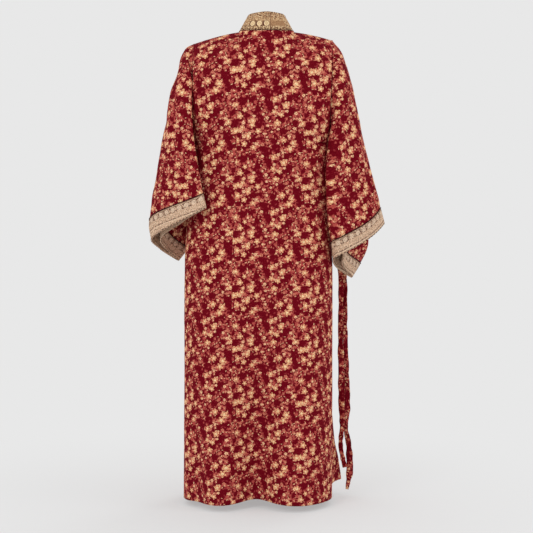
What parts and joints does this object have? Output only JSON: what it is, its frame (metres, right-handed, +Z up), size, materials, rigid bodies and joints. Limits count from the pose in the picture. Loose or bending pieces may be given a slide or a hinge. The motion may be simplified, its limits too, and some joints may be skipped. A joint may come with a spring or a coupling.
{
  "type": "long kimono",
  "caption": "Ankle-length open kimono in floral print with wide sleeves, patterned border collar and cuffs, and a narrow tie belt hung from one side",
  "frame": {"origin": "the middle of the neck, on the shoulder line and level with the collar's seam at the nape, where the garment hangs from its wearer", "axes": "+Z is up, the front faces -Y and the wearer's left is +X"},
  "size_m": [0.6749, 0.3218, 1.3904],
  "materials": {
    "print": "soft woven cloth with a light sheen, deep crimson with small peach and cream flowers",
    "border": "closely patterned woven border cloth in tan, cream and dark brown"
  },
  "bodies": {
    "root": {"back": "print", "front_left": "print", "front_right": "print", "sleeve_left": "print", "sleeve_right": "print", "cuff_left": "border", "cuff_right": "border", "collar_left": "border", "collar_right": "border", "belt_loop": "print", "belt": "print"}
  },
  "joints": []
}
